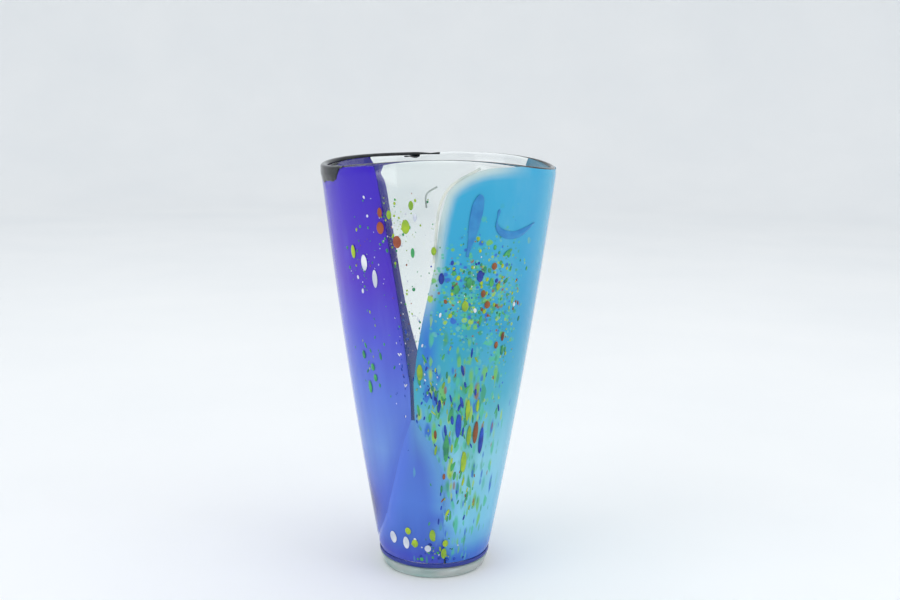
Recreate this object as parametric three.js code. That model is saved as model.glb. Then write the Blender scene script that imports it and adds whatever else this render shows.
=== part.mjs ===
// A hand-blown vase: a tall tapered vessel of clear glass on a clear foot, with cobalt and turquoise
// sheets of glass over its outside, a smoky wrap on part of its lip, trailed threads, thin shards and
// chips of coloured glass. Millimetres, +Z up, the front faces -Y, angles in degrees from +X.
import * as THREE from "three";

// Vessel
const RIM_HEIGHT = 344;
const RIM_RADIUS = 95.4;
const HEEL_RADIUS = 43;
const BELLY = 3.1; // how far the side bulges past a straight cone at mid height
const WALL_AT_RIM = 4.6;
const WALL_AT_HEEL = 7;
const VESSEL_BOTTOM = 12;
const HEEL_BEVEL = 3.4;
const INNER_FLOOR = 24;
const FLOOR_FILLET = 13;
const FLOOR_DISH = 1; // how far the middle of the inner floor sinks
const WALL_ROWS = 8;
const SEGMENTS = 56;

// Clear foot and the cobalt sheet between foot and vessel
const FOOT_RADIUS = 44;
const FOOT_SHOULDER = 46;
const FOOT_HEIGHT = 9.6;
const FOOT_FILLET = 2.2;
const SHOULDER_FILLET = 0.8;
const PONTIL_RADIUS = 13;
const PONTIL_DEPTH = 1.2;
const BASE_SHEET = 1.7;
const BASE_CORNER = 1.8; // bevel round the lower edge of that sheet

// Coloured sheets and what lies on them
const GAP = 0.4;
const SHEET = 1;
const EDGE = 0.25; // thickness of a sheet or chip at its melted edge
const TAPER = 5; // width of that melted edge
const TAPER_SHARE = 0.25; // the most of a narrow sheet that one melted edge may take
const SHEET_BOTTOM = 14.4;
const SHEET_TOP = 342.4;
const SHEET_ROWS = 7;
const LEAST_SHEET = 2; // a sheet ends where it would be lower than this
const SEAM = 0.8; // between neighbouring sheets
const COLUMN_STEP = 6.5; // degrees
const LEAST_COLUMN = 0.1; // degrees between two bends of slanting edges
const HEIGHT_STEP = 30;
const LEVEL = 0.5; // an edge that rises less than this between two points counts as level

// The lip is not level: it rises and falls round the mouth.
const WAVE_START = 250;
const RIM_WAVES = [
  { times: 2, height: 3.3, crest: -88 },
  { times: 3, height: 1.3, crest: -82 },
];

// Smoky lip wrap: over the top of the wall and down its outside
const WRAP_START = -270;
const WRAP_END = -140;
const WRAP_THICKNESS = 2.5;
const WRAP_SKIRT = 11; // how far it hangs at the front left
const WRAP_BACK_SKIRT = 3.5;
const WRAP_DEEPENS = [-210, -180]; // between these angles it grows from one to the other
const WRAP_SCALLOPS = 7;
const WRAP_SCALLOP_SHARE = 0.15;
const WRAP_FADE = 16; // degrees over which each end thins out
const WRAP_LEAD = 4; // degrees beyond each end over which the wall begins to drop
const WRAP_STEP = 0.75; // how far the wall has dropped where the wrap begins
const WRAP_COLUMNS = 26;
const WRAP_BEND = 1.8; // height of the bend from the wall's side to its top
const WALL_SINKS_OVER = 40; // height over which the wall drops to make room for the wrap

// Edges of the coloured sheets, as angle and height. Low on the front, cobalt and turquoise run
// together in a mid-blue tongue that narrows to a point between them. Above it the glass stays clear.
const TONGUE_TIP = [-105, 145];
const TONGUE_LEFT = [[-180, SHEET_BOTTOM], [-140, 50], TONGUE_TIP];
const TONGUE_RIGHT = [TONGUE_TIP, [-85, 100], [-80, SHEET_BOTTOM]];
const TURQUOISE_LOW_EDGE = [TONGUE_TIP, [-100, 200], [-90, 270]];
const TURQUOISE_HIGH_EDGE = [[-90, 270], [-85, 320], [-70, 337], [-50, SHEET_TOP]];
const TURQUOISE_BACK = [[35, SHEET_TOP], [60, 190], [85, 90]];
const COBALT_EDGE = [[-120, SHEET_TOP], [-110, 220], TONGUE_TIP];
const COBALT_BACK = [[-275, 90], [-250, 190], [-235, SHEET_TOP]];
const BACK_SEAM = [[85, 90], [95, SHEET_BOTTOM]];

// Trails and shards, as angle and height
const SILVER_PATH = [[-90, 325], [-95, 320], [-95, 310]];
const TALL_SHARD_PATH = [[-70, 320], [-75, 275]];
const CRESCENT_PATH = [[-60, 310], [-60, 295], [-50, 290], [-35, 300]];
const DASH_PATH = [[-50, 280], [-55, 275]];

// Chips lie in loose groups. Each group has the middle and spread of its angles and heights, the range of
// its chips' sizes, and their colours in turn. Low on the wall the glass was drawn out, so they are long.
const CHIP_HEIGHT = 1.1;
const CHIP_CLEARANCE = 1;
const CHIP_SEED = 11;
const CHIP_GROUPS = [
  {
    colours: ["white", "lime", "white"],
    angle: [-130, 10],
    height: [265, 15],
    width: [5, 7],
    length: [10, 15],
  },
  {
    colours: ["orange", "lime", "orange"],
    angle: [-110, 10],
    height: [290, 20],
    width: [6, 8],
    length: [9, 12],
  },
  {
    colours: ["lime", "white", "orange", "lime", "green", "lime"],
    angle: [-105, 15],
    height: [295, 20],
    width: [3, 5],
    length: [5, 8],
  },
  {
    colours: ["green", "lime", "brown", "blue", "green", "brown", "lime", "green", "blue", "brown"],
    angle: [-70, 20],
    height: [250, 30],
    width: [4, 6],
    length: [5, 9],
  },
  {
    colours: ["green", "green", "green", "green"],
    angle: [-130, 10],
    height: [190, 30],
    width: [4, 5],
    length: [6, 12],
  },
  {
    colours: ["brown", "green", "brown"],
    angle: [-50, 5],
    height: [205, 15],
    width: [3, 5],
    length: [5, 9],
  },
  {
    colours: ["lime"],
    angle: [-100, 5],
    height: [180, 5],
    width: [5, 6],
    length: [12, 15],
  },
  {
    colours: ["lime", "green", "blue", "lime", "blue", "lime", "brown"],
    angle: [-65, 20],
    height: [125, 35],
    width: [4, 6],
    length: [16, 24],
  },
  {
    colours: ["lime", "white", "lime", "white", "lime", "white", "lime", "lime"],
    angle: [-100, 40],
    height: [35, 15],
    width: [5, 8],
    length: [6, 12],
  },
];

// Facets of small rounded edges, and of the rounded top of the wall and of the wrap over it
const ARC_PIECES = 3;
const CROWN_PIECES = 4;
const NARROWEST = 0.2; // share of its width that a ribbon keeps at its ends

const smooth = THREE.MathUtils.smoothstep;
const lerp = THREE.MathUtils.lerp;
const rad = THREE.MathUtils.degToRad;

function glass(colour, roughness = 0.06) {
  return new THREE.MeshStandardMaterial({ color: colour, roughness, metalness: 0 });
}

const COLOURS = {
  clear: glass(0xdfeae6),
  cobalt: glass(0x3a22c8),
  turquoise: glass(0x46aed8, 0.1),
  tongue: glass(0x4f7fd6, 0.08),
  smoke: glass(0x3a3f42),
  opal: glass(0xe8dfd2, 0.15),
  silver: glass(0xb9c4c2, 0.15),
  lime: glass(0xa6cc2e, 0.12),
  orange: glass(0xd9532b, 0.12),
  white: glass(0xeef0f6, 0.12),
  green: glass(0x2f9163, 0.12),
  brown: glass(0x8a4a26, 0.12),
  blue: glass(0x2643b4, 0.12),
};

// Outside radius of the clear vessel at a height.
function vesselRadius(z) {
  const u = z / RIM_HEIGHT;
  return lerp(HEEL_RADIUS, RIM_RADIUS, u) + 4 * BELLY * u * (1 - u);
}

// Degrees that span a length along the wall at a height.
function degreesAcross(length, z) {
  return THREE.MathUtils.radToDeg(length / vesselRadius(z));
}

// Closely spaced points along a smooth edge.
function along(edge) {
  const curve = new THREE.CatmullRomCurve3(edge.map(([a, z]) => new THREE.Vector3(a, z, 0)));
  const spans = edge.length - 1;
  const points = [edge[0]];
  for (let i = 0; i < spans; i++) {
    const wide = Math.abs(edge[i + 1][0] - edge[i][0]) / COLUMN_STEP;
    const tall = Math.abs(edge[i + 1][1] - edge[i][1]) / HEIGHT_STEP;
    const pieces = Math.ceil(Math.max(wide, tall, 1));
    for (let k = 1; k <= pieces; k++) {
      const { x, y } = curve.getPoint((i + k / pieces) / spans);
      points.push([x, y]);
    }
  }
  return points;
}

// The same points moved off the edge by half a seam, upward for 1 and downward for -1.
function movedOff(points, upward) {
  return points.map(([angle, z], i) => {
    const [a0, z0] = points[Math.max(i - 1, 0)];
    const [a1, z1] = points[Math.min(i + 1, points.length - 1)];
    const run = rad(a1 - a0) * vesselRadius(z);
    const rise = z1 - z0;
    const shift = (upward * SEAM) / 2 / Math.hypot(run, rise);
    return [angle - degreesAcross(shift * rise, z), z + shift * run];
  });
}

// Height of an outline at an angle.
function heightAt(points, angle) {
  const i = points.findIndex(([a]) => a >= angle);
  if (i < 0) return points[points.length - 1][1];
  if (i === 0) return points[0][1];
  const [[a0, z0], [a1, z1]] = [points[i - 1], points[i]];
  return a1 > a0 ? lerp(z0, z1, (angle - a0) / (a1 - a0)) : z1;
}

function sheetOutline(top, bottom) {
  return { top: movedOff(top, -1), bottom: movedOff(bottom, 1) };
}

const turnBack = (edge) => edge.map(([angle, z]) => [angle - 360, z]);

const SHEETS = {
  tongue: sheetOutline(
    [...along(TONGUE_LEFT), ...along(TONGUE_RIGHT)],
    along([TONGUE_LEFT[0], TONGUE_RIGHT.at(-1)]),
  ),
  turquoise: sheetOutline(
    [
      ...along(TURQUOISE_LOW_EDGE),
      ...along(TURQUOISE_HIGH_EDGE),
      ...along([TURQUOISE_HIGH_EDGE.at(-1), TURQUOISE_BACK[0]]),
      ...along(TURQUOISE_BACK),
      ...along(BACK_SEAM),
    ],
    [...along(TONGUE_RIGHT), ...along([TONGUE_RIGHT.at(-1), BACK_SEAM.at(-1)])],
  ),
  cobalt: sheetOutline(
    [...along(COBALT_BACK), ...along([COBALT_BACK.at(-1), COBALT_EDGE[0]]), ...along(COBALT_EDGE)],
    [
      ...turnBack(along(BACK_SEAM)),
      ...along([turnBack(BACK_SEAM).at(-1), TONGUE_LEFT[0]]),
      ...along(TONGUE_LEFT),
    ],
  ),
};

// Whether a place on the wall lies under a coloured sheet, or within a margin of one.
function covered(angle, z, margin) {
  const turns = [angle - 360, angle, angle + 360];
  const reach = degreesAcross(margin, z);
  return Object.values(SHEETS).some(({ top, bottom }) =>
    turns.some((a) => {
      const near = [a - reach, a, a + reach].filter((b) => b > top[0][0] && b < top.at(-1)[0]);
      return near.some((b) => z < heightAt(top, b) + margin && z > heightAt(bottom, b) - margin);
    }),
  );
}

// An angle counted so that it runs on without a jump from one end of the lip wrap to the other.
const wrapTurn = (angle) => (angle > WRAP_END + 90 ? angle - 360 : angle);

// How far inside the ends of the lip wrap an angle lies, in degrees.
function insideWrap(angle) {
  const a = wrapTurn(angle);
  return Math.min(a - WRAP_START, WRAP_END - a);
}

// Under the wrap the vessel's own edge sits lower, by this much.
function lipDrop(angle) {
  const inside = insideWrap(angle);
  return WRAP_STEP * smooth(inside, -WRAP_LEAD, 0) + WRAP_THICKNESS * smooth(inside, 0, WRAP_FADE);
}

// How far the wrap hangs down the outside, in shallow scallops.
function wrapSkirt(angle) {
  const scallops = 1 - WRAP_SCALLOP_SHARE + WRAP_SCALLOP_SHARE * Math.cos(rad(WRAP_SCALLOPS * angle));
  const depth = lerp(WRAP_BACK_SKIRT, WRAP_SKIRT, smooth(wrapTurn(angle), ...WRAP_DEEPENS));
  return RIM_HEIGHT - SHEET_TOP + depth * scallops * smooth(insideWrap(angle), 0, WRAP_FADE);
}

function lipWave(angle) {
  return RIM_WAVES.reduce((sum, w) => sum + w.height * Math.cos(rad(w.times * (angle - w.crest))), 0);
}

function place(angle, radius, z) {
  return new THREE.Vector3(radius * Math.cos(rad(angle)), radius * Math.sin(rad(angle)), z);
}

// Slides each point up the slope of the wall by a distance that depends on its angle and height.
function slide(geometry, rise) {
  const position = geometry.getAttribute("position");
  for (let i = 0; i < position.count; i++) {
    const x = position.getX(i);
    const y = position.getY(i);
    const z = position.getZ(i);
    const lift = rise(THREE.MathUtils.radToDeg(Math.atan2(y, x)), z);
    const radius = Math.hypot(x, y);
    const scale = radius > 1 ? 1 + (vesselRadius(z + lift) - vesselRadius(z)) / radius : 1;
    position.setXYZ(i, x * scale, y * scale, z + lift);
  }
  return geometry;
}

const withWave = (geometry) =>
  slide(geometry, (angle, z) => lipWave(angle) * smooth(z, WAVE_START, RIM_HEIGHT));

function facingOut(geometry) {
  const position = geometry.getAttribute("position");
  const index = geometry.getIndex().array;
  const corner = (i) => new THREE.Vector3().fromBufferAttribute(position, index[i]);
  let volume = 0;
  for (let i = 0; i < index.length; i += 3) volume += corner(i).dot(corner(i + 1).cross(corner(i + 2)));
  if (volume < 0) {
    for (let i = 0; i < index.length; i += 3) [index[i + 1], index[i + 2]] = [index[i + 2], index[i + 1]];
  }
  return geometry;
}

// A closed solid from neighbouring columns of points on its outer and inner side.
function sheetSolid(columns) {
  const rows = columns[0].outer.length;
  const loop = 2 * rows;
  const points = columns.flatMap((column) => [...column.outer, ...column.inner.toReversed()]);
  const index = [];
  const quad = (a, b, c, d) => index.push(a, b, c, a, c, d);
  for (let i = 0; i + 1 < columns.length; i++) {
    for (let k = 0; k < loop; k++) {
      const next = (k + 1) % loop;
      quad(i * loop + k, i * loop + next, (i + 1) * loop + next, (i + 1) * loop + k);
    }
  }
  const last = (columns.length - 1) * loop;
  for (let k = 0; k + 1 < rows; k++) {
    quad(k, loop - 1 - k, loop - 2 - k, k + 1);
    quad(last + k, last + k + 1, last + loop - 2 - k, last + loop - 1 - k);
  }
  const geometry = new THREE.BufferGeometry().setFromPoints(points);
  geometry.setIndex(index);
  return facingOut(geometry);
}

// A turned solid from a profile of [radius, height] that starts and ends on the axis.
function turned(profile) {
  const points = profile.map(([r, z]) => new THREE.Vector2(r, z));
  return facingOut(new THREE.LatheGeometry(points, SEGMENTS).rotateX(Math.PI / 2));
}

// Points of a profile on an arc round (r, z), between two angles from the outward direction.
function arc([r, z], radius, from, to, pieces = ARC_PIECES) {
  const points = [];
  for (let k = 0; k <= pieces; k++) {
    const turn = rad(lerp(from, to, k / pieces));
    points.push([r + radius * Math.cos(turn), z + radius * Math.sin(turn)]);
  }
  return points;
}

function footGeometry() {
  const pontil = [];
  for (let k = 0; k <= ARC_PIECES; k++) {
    const share = k / ARC_PIECES;
    pontil.push([PONTIL_RADIUS * share, PONTIL_DEPTH * Math.cos((share * Math.PI) / 2)]);
  }
  const shoulder = [FOOT_SHOULDER - SHOULDER_FILLET, FOOT_HEIGHT - SHOULDER_FILLET];
  return turned([
    ...pontil,
    ...arc([FOOT_RADIUS - FOOT_FILLET, FOOT_FILLET], FOOT_FILLET, -90, -30),
    ...arc(shoulder, SHOULDER_FILLET, -30, 90),
    [0, FOOT_HEIGHT],
  ]);
}

function baseSheetGeometry() {
  const bottom = FOOT_HEIGHT + GAP;
  const top = bottom + BASE_SHEET;
  const brim = SHEET_BOTTOM - GAP;
  const inside = vesselRadius(brim) + GAP;
  const outside = inside + SHEET;
  return turned([
    [0, bottom],
    [outside - BASE_CORNER, bottom],
    [outside, bottom + BASE_CORNER],
    [outside, brim],
    [inside, brim],
    [inside - (brim - top), top],
    [0, top],
  ]);
}

function vesselGeometry() {
  const half = WALL_AT_RIM / 2;
  const crown = RIM_HEIGHT - half;
  const wall = (z) => lerp(WALL_AT_HEEL, WALL_AT_RIM, smooth(z, INNER_FLOOR, RIM_HEIGHT / 2));
  const inside = (z) => vesselRadius(z) - wall(z);
  const heel = VESSEL_BOTTOM + HEEL_BEVEL;
  const floorTop = INNER_FLOOR + FLOOR_FILLET;
  const outer = [];
  const inner = [];
  for (let k = 0; k < WALL_ROWS; k++) {
    const z = lerp(heel, crown, k / WALL_ROWS);
    outer.push([vesselRadius(z), z]);
    const back = lerp(crown, floorTop, (k + 1) / WALL_ROWS);
    inner.push([inside(back), back]);
  }
  const profile = [
    [0, VESSEL_BOTTOM],
    [vesselRadius(heel) - HEEL_BEVEL, VESSEL_BOTTOM],
    ...outer,
    ...arc([vesselRadius(crown) - half, crown], half, 0, 180, CROWN_PIECES),
    ...inner,
    ...arc([inside(floorTop) - FLOOR_FILLET, floorTop], FLOOR_FILLET, 0, -90).slice(1),
    [0, INNER_FLOOR - FLOOR_DISH],
  ];
  const sink = (angle, z) => -lipDrop(angle) * smooth(z, RIM_HEIGHT - WALL_SINKS_OVER, crown);
  return slide(turned(profile), sink);
}

// Angles for a sheet's columns: every bend of its slanting edges, and its level edges filled in between.
function columnAngles(top, bottom) {
  const angles = [];
  const distance = (angle) => Math.min(...angles.map((a) => Math.abs(a - angle)));
  for (const wanted of [true, false]) {
    for (const line of [top, bottom]) {
      line.forEach(([angle, z], i) => {
        const neighbour = line[i + 1] ?? line[i - 1];
        const slanting = Math.abs(neighbour[1] - z) > LEVEL;
        const apart = slanting ? LEAST_COLUMN : COLUMN_STEP / 2;
        if (slanting === wanted && !(distance(angle) < apart)) angles.push(angle);
      });
    }
  }
  return angles.sort((a, b) => a - b);
}

// A coloured sheet between its lower and upper outline, thinned along its edges. `hem` caps its height.
function sheetGeometry({ top, bottom }, hem = () => SHEET_TOP) {
  const spans = columnAngles(top, bottom)
    .map((angle) => {
      const high = Math.min(heightAt(top, angle), hem(angle));
      return { angle, low: heightAt(bottom, angle), high };
    })
    .filter(({ low, high }) => high - low > LEAST_SHEET);
  const built = spans.map(({ angle, low, high }, i) => {
    const taper = Math.min(TAPER, (high - low) * TAPER_SHARE);
    const column = { outer: [], inner: [] };
    for (let k = 0; k <= SHEET_ROWS; k++) {
      const share = (k - 1) / (SHEET_ROWS - 2);
      const middle = lerp(low + taper, high - taper, share);
      const z = k === 0 ? low : k === SHEET_ROWS ? high : middle;
      const border = k === 0 || k === SHEET_ROWS || i === 0 || i === spans.length - 1;
      const under = vesselRadius(z) + GAP;
      column.inner.push(place(angle, under, z));
      column.outer.push(place(angle, under + (border ? EDGE : SHEET), z));
    }
    return column;
  });
  return sheetSolid(built);
}

// The smoky wrap: a skirt down the outside of the wall, and a rounded crown over the wall's top.
function lipWrapGeometry() {
  const under = RIM_RADIUS + GAP;
  const outside = under + SHEET;
  const inside = RIM_RADIUS - WALL_AT_RIM;
  const half = (outside - inside) / 2;
  const built = [];
  for (let i = 0; i <= WRAP_COLUMNS; i++) {
    const angle = lerp(WRAP_START, WRAP_END, i / WRAP_COLUMNS);
    const hem = RIM_HEIGHT - wrapSkirt(angle);
    const crest = RIM_HEIGHT - lipDrop(angle) + GAP;
    const round = (RIM_HEIGHT - crest) / 2;
    const bend = Math.max(hem + GAP, crest - WRAP_BEND);
    const outer = [place(angle, vesselRadius(hem) + GAP + SHEET, hem)];
    const inner = [place(angle, vesselRadius(hem) + GAP, hem), place(angle, under, bend)];
    for (let k = 0; k <= CROWN_PIECES; k++) {
      const turn = (k * Math.PI) / CROWN_PIECES;
      const height = RIM_HEIGHT - round * (1 - Math.sin(turn));
      outer.push(place(angle, inside + half + half * Math.cos(turn), height));
      if (k > 0) inner.push(place(angle, lerp(under, inside, k / CROWN_PIECES), crest));
    }
    built.push({ outer, inner });
  }
  return sheetSolid(built);
}

// A raised ribbon of glass along a path of [angle, height], shifted sideways from it by `aside`.
function ribbonGeometry({ path, width, height, stations = 5, aside = 0, shape = ellipse, bare = false }) {
  const curve = new THREE.CatmullRomCurve3(path.map(([a, z]) => new THREE.Vector3(a, z, 0)));
  const lifted = !bare && path.some(([angle, z]) => covered(angle, z, width / 2 + CHIP_CLEARANCE));
  const built = [];
  for (let k = 0; k <= stations; k++) {
    const t = (1 - Math.cos((k * Math.PI) / stations)) / 2;
    const { x: angle, y: z } = curve.getPoint(t);
    const tangent = curve.getTangent(t);
    const across = new THREE.Vector2(tangent.y, -tangent.x / degreesAcross(1, z)).normalize();
    const half = (width / 2) * shape(t);
    const column = { outer: [], inner: [] };
    for (const side of [-1, 0, 1]) {
      const shift = aside + side * half;
      const h = z + across.y * shift;
      const a = angle + degreesAcross(across.x * shift, h);
      const under = vesselRadius(h) + GAP + (lifted ? SHEET + GAP : 0);
      const thick = side === 0 ? lerp(EDGE, height, shape(t)) : EDGE;
      column.inner.push(place(a, under, h));
      column.outer.push(place(a, under + thick, h));
    }
    built.push(column);
  }
  return sheetSolid(built);
}

// Widths along a ribbon, from 0 at its start to 1 at its end, as a share of its full width
const ellipse = (t) => Math.max(NARROWEST, Math.sqrt(Math.max(0, 1 - (2 * t - 1) ** 2)));
const teardrop = (t) => Math.max(NARROWEST, Math.sin(Math.PI * Math.sqrt(t)));
const crescent = (t) => Math.max(NARROWEST, Math.sin(Math.PI * t ** 1.5));
const cord = () => 1;

const ACCENTS = {
  opal_edge_trail: {
    colour: "opal", path: TURQUOISE_HIGH_EDGE.slice(0, -1), width: 2, height: 0.9, stations: 18,
    aside: -2.3, shape: cord, bare: true,
  },
  silver_thread: { colour: "silver", path: SILVER_PATH, width: 1.3, height: 0.7, stations: 8, shape: cord },
  shard_tall: { colour: "blue", path: TALL_SHARD_PATH, width: 11, height: 0.8, stations: 9, shape: teardrop },
  shard_crescent: {
    colour: "blue", path: CRESCENT_PATH, width: 7, height: 0.8, stations: 12, shape: crescent,
  },
  shard_dash: { colour: "green", path: DASH_PATH, width: 3.6, height: 0.7 },
};

// Random numbers from 0 to 1 that are the same each time.
function seeded(seed) {
  let state = seed;
  return () => {
    state = (state + 0x6d2b79f5) | 0;
    let mixed = Math.imul(state ^ (state >>> 15), 1 | state);
    mixed = (mixed + Math.imul(mixed ^ (mixed >>> 7), 61 | mixed)) ^ mixed;
    return ((mixed ^ (mixed >>> 14)) >>> 0) / 2 ** 32;
  };
}

// Whether a spot on the wall is clear of every other one.
function isFree(spot, others) {
  return others.every((other) => {
    const apart = Math.abs(spot.angle - other.angle) / degreesAcross(1, spot.z);
    const side = (spot.width + other.width) / 2 + CHIP_CLEARANCE;
    return apart > side || Math.abs(spot.z - other.z) > (spot.length + other.length) / 2 + CHIP_CLEARANCE;
  });
}

// Every chip of every group, each dropped where there is still room for it.
function chipSpots() {
  const random = seeded(CHIP_SEED);
  const between = ([low, high]) => lerp(low, high, random());
  const near = ([middle, spread]) => middle + spread * (random() + random() - 1);
  const trails = Object.values(ACCENTS).flatMap(({ path, width, aside = 0 }) =>
    along(path).map(([angle, z]) => {
      const size = width + 2 * Math.abs(aside);
      return { angle, z, width: size, length: size };
    }),
  );
  const spots = [];
  for (const { colours, angle, height, width, length } of CHIP_GROUPS) {
    for (const colour of colours) {
      let spot;
      do {
        spot = { colour, angle: near(angle), z: near(height) };
        spot.width = between(width);
        spot.length = between(length);
      } while (!isFree(spot, [...spots, ...trails]));
      spots.push(spot);
    }
  }
  return spots;
}

const vase = new THREE.Group();
vase.name = "hand_blown_vase";

function add(name, colour, geometry) {
  const mesh = new THREE.Mesh(withWave(geometry), COLOURS[colour]);
  mesh.name = name;
  vase.add(mesh);
}

add("foot", "clear", footGeometry());
add("base_sheet", "cobalt", baseSheetGeometry());
add("vessel", "clear", vesselGeometry());
add("turquoise_sheet", "turquoise", sheetGeometry(SHEETS.turquoise));
add("cobalt_sheet", "cobalt", sheetGeometry(SHEETS.cobalt, (angle) => RIM_HEIGHT - wrapSkirt(angle) - SEAM));
add("tongue_sheet", "tongue", sheetGeometry(SHEETS.tongue));
add("lip_wrap", "smoke", lipWrapGeometry());
for (const [name, accent] of Object.entries(ACCENTS)) add(name, accent.colour, ribbonGeometry(accent));

const counts = {};
for (const { colour, angle, z, width, length } of chipSpots()) {
  counts[colour] = (counts[colour] ?? 0) + 1;
  const path = [[angle, z - length / 2], [angle, z + length / 2]];
  const number = String(counts[colour]).padStart(2, "0");
  add(`chip_${colour}_${number}`, colour, ribbonGeometry({ path, width, height: CHIP_HEIGHT }));
}

export default vase;
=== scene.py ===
# A hand-blown art glass vase: clear vessel and foot, cobalt and turquoise sheets, a smoky lip wrap,
# threads, shards and chips. Metres; angles in degrees from +X; the front faces -Y.
import bmesh
import bpy
import math
import numpy as np
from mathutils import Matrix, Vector

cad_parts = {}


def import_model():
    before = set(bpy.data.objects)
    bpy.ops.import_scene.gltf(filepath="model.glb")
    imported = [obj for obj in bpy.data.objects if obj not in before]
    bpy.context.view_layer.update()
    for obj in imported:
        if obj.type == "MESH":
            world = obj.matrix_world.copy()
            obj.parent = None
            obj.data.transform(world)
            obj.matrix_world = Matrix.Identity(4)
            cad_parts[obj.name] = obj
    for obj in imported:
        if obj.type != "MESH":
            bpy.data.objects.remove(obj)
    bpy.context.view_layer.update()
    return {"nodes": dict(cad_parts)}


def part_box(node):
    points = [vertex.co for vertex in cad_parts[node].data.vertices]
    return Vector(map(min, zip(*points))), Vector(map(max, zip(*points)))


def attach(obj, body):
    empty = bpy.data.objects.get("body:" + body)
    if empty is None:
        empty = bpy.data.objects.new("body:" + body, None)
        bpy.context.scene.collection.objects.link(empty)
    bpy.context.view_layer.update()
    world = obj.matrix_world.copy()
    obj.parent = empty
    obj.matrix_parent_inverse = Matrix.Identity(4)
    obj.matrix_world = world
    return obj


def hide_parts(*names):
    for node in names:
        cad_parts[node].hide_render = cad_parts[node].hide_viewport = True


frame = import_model()

MM = 0.001
GAP = 0.4 * MM            # between the vessel and what lies on it
SHEET = 1.0 * MM          # thickness of a coloured sheet
EDGE = 0.25 * MM          # thickness of a sheet at its melted edge
TAPER = 5 * MM            # width over which a sheet thins to that edge
SEAM = 0.8 * MM           # between neighbouring sheets in the CAD
SEAM_REACH = 1.3 * MM     # how far a steep edge is moved sideways to close it
SEAM_OVERLAP = 0.1 * MM   # how far each neighbour passes the middle of the seam
MELT = 16 * MM            # width over which a sheet runs into the tongue

VESSEL_FLOOR = 0.024      # height of the floor inside the vessel
FLOOR_FILLET = 0.013
FLOOR_DISH = 0.001        # how far that floor sinks towards its middle
HEEL_BEVEL = 0.0034
WAVE_START = 0.25         # height above which the wall follows the wave of the lip
SIDE_FROM = 0.045         # the plain wall lies above this height
SIDE_BELOW_TOP = 0.014    # and this far below the top
LIP_FROM = 0.32           # CAD points above this height belong to the lip
COLUMNS_FROM = 0.30       # and above this one to the top end of a column of the wall

FOOT_SLOPE = 0.0020       # how much narrower the foot is at its base than at its shoulder
FOOT_FILLET = 0.0024
SHOULDER_FILLET = 0.0014
PONTIL_RADIUS = 0.013
PONTIL_DEPTH = 0.0012

BASE_THICK = 0.0017       # floor of the cobalt cup between vessel and foot
BASE_BEVEL = 0.0018
BASE_FLARE = 0.0022
BASE_FILLET = 0.0040

LIP_THICK = 0.0046        # wall of the lip under the wrap
LIP_RISE = 0.0022         # height of the round of the lip
FRONT_DRIP = 12 * MM      # how far the wrap hangs at its front end
RAGGED = 0.9 * MM         # how far the points of a torn shard stray

MEAN_RADIUS = 0.075       # turns an angle into a length along the wall, for patterns
PATTERN_HEIGHT = 0.35     # height that stands for 1 in the colour ramps

STAGE_RADIUS = 3.0        # of the pale floor, before it curves up
STAGE_COVE = 1.2
STAGE_WALL = 3.0
CAMERA_PLACE = (0.0083, -0.931, 0.395)
CAMERA_DOWN = 10.2        # degrees below level
CAMERA_ROLL = -0.8
CAMERA_LENS = 45.4        # mm on a 36 mm sensor

# the CAD's sheets, each with the angle at which its outline is taken a turn back
SHEET_CUTS = {"cobalt_sheet": 0.0, "turquoise_sheet": 180.0, "tongue_sheet": 150.0}

random = np.random.default_rng(7)


# ---------------------------------------------------------------- what the CAD meshes say

def cad_points(node):
    mesh = frame["nodes"][node].data
    co = np.empty(len(mesh.vertices) * 3)
    mesh.vertices.foreach_get("co", co)
    return co.reshape(-1, 3)


def polar(points, cut=180.0):
    """Angle, radius and height of points. Angles above `cut` are taken a turn back."""
    angle = np.degrees(np.arctan2(points[:, 1], points[:, 0]))
    return np.where(angle > cut, angle - 360, angle), np.hypot(points[:, 0], points[:, 1]), points[:, 2]


def wall_profile():
    """Outside and inside radius of the vessel as polynomials of height."""
    _, radius, z = polar(cad_points("vessel"))
    side = (z > SIDE_FROM) & (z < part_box("vessel")[1].z - SIDE_BELOW_TOP)
    middle = np.polyfit(z[side], radius[side], 2)
    outer = side & (radius > np.polyval(middle, z))
    inner = side & (radius < np.polyval(middle, z))
    return np.polyfit(z[outer], radius[outer], 2), np.polyfit(z[inner], radius[inner], 4)


OUTER, INNER = wall_profile()


def wall(z):
    return np.polyval(OUTER, z)


def inside(z):
    return np.polyval(INNER, z)


def rim_wave():
    """Fourier terms of the height of the lip round the mouth."""
    points = np.vstack([cad_points("vessel"), cad_points("lip_wrap")])
    angle, _, z = polar(points)
    top = z > LIP_FROM
    columns = {}
    for a, h in zip(np.round(angle[top] / 3) * 3, z[top]):
        columns[a] = max(h, columns.get(a, 0))
    a = np.radians(np.array(list(columns)))
    terms = np.column_stack([np.ones_like(a)] + [f(k * a) for k in (1, 2, 3) for f in (np.cos, np.sin)])
    return np.linalg.lstsq(terms, np.array(list(columns.values())), rcond=None)[0]


RIM = rim_wave()
RIM_HEIGHT = float(RIM[0])


def rim(angle):
    a = np.radians(angle)
    return RIM[0] + sum(
        RIM[2 * k - 1] * np.cos(k * a) + RIM[2 * k] * np.sin(k * a) for k in (1, 2, 3)
    )


def smooth(x, low, high):
    t = np.clip((np.asarray(x, float) - low) / (high - low), 0, 1)
    return t * t * (3 - 2 * t)


def lerp(a, b, t):
    return a + (b - a) * t


def on_wall(angle, z, above=0.0):
    """Points at an angle and a height, `above` the vessel's outside."""
    a = np.radians(angle)
    r = wall(z) + above
    return np.stack([r * np.cos(a), r * np.sin(a), z + 0 * a], -1)


# ---------------------------------------------------------------- meshes

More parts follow.
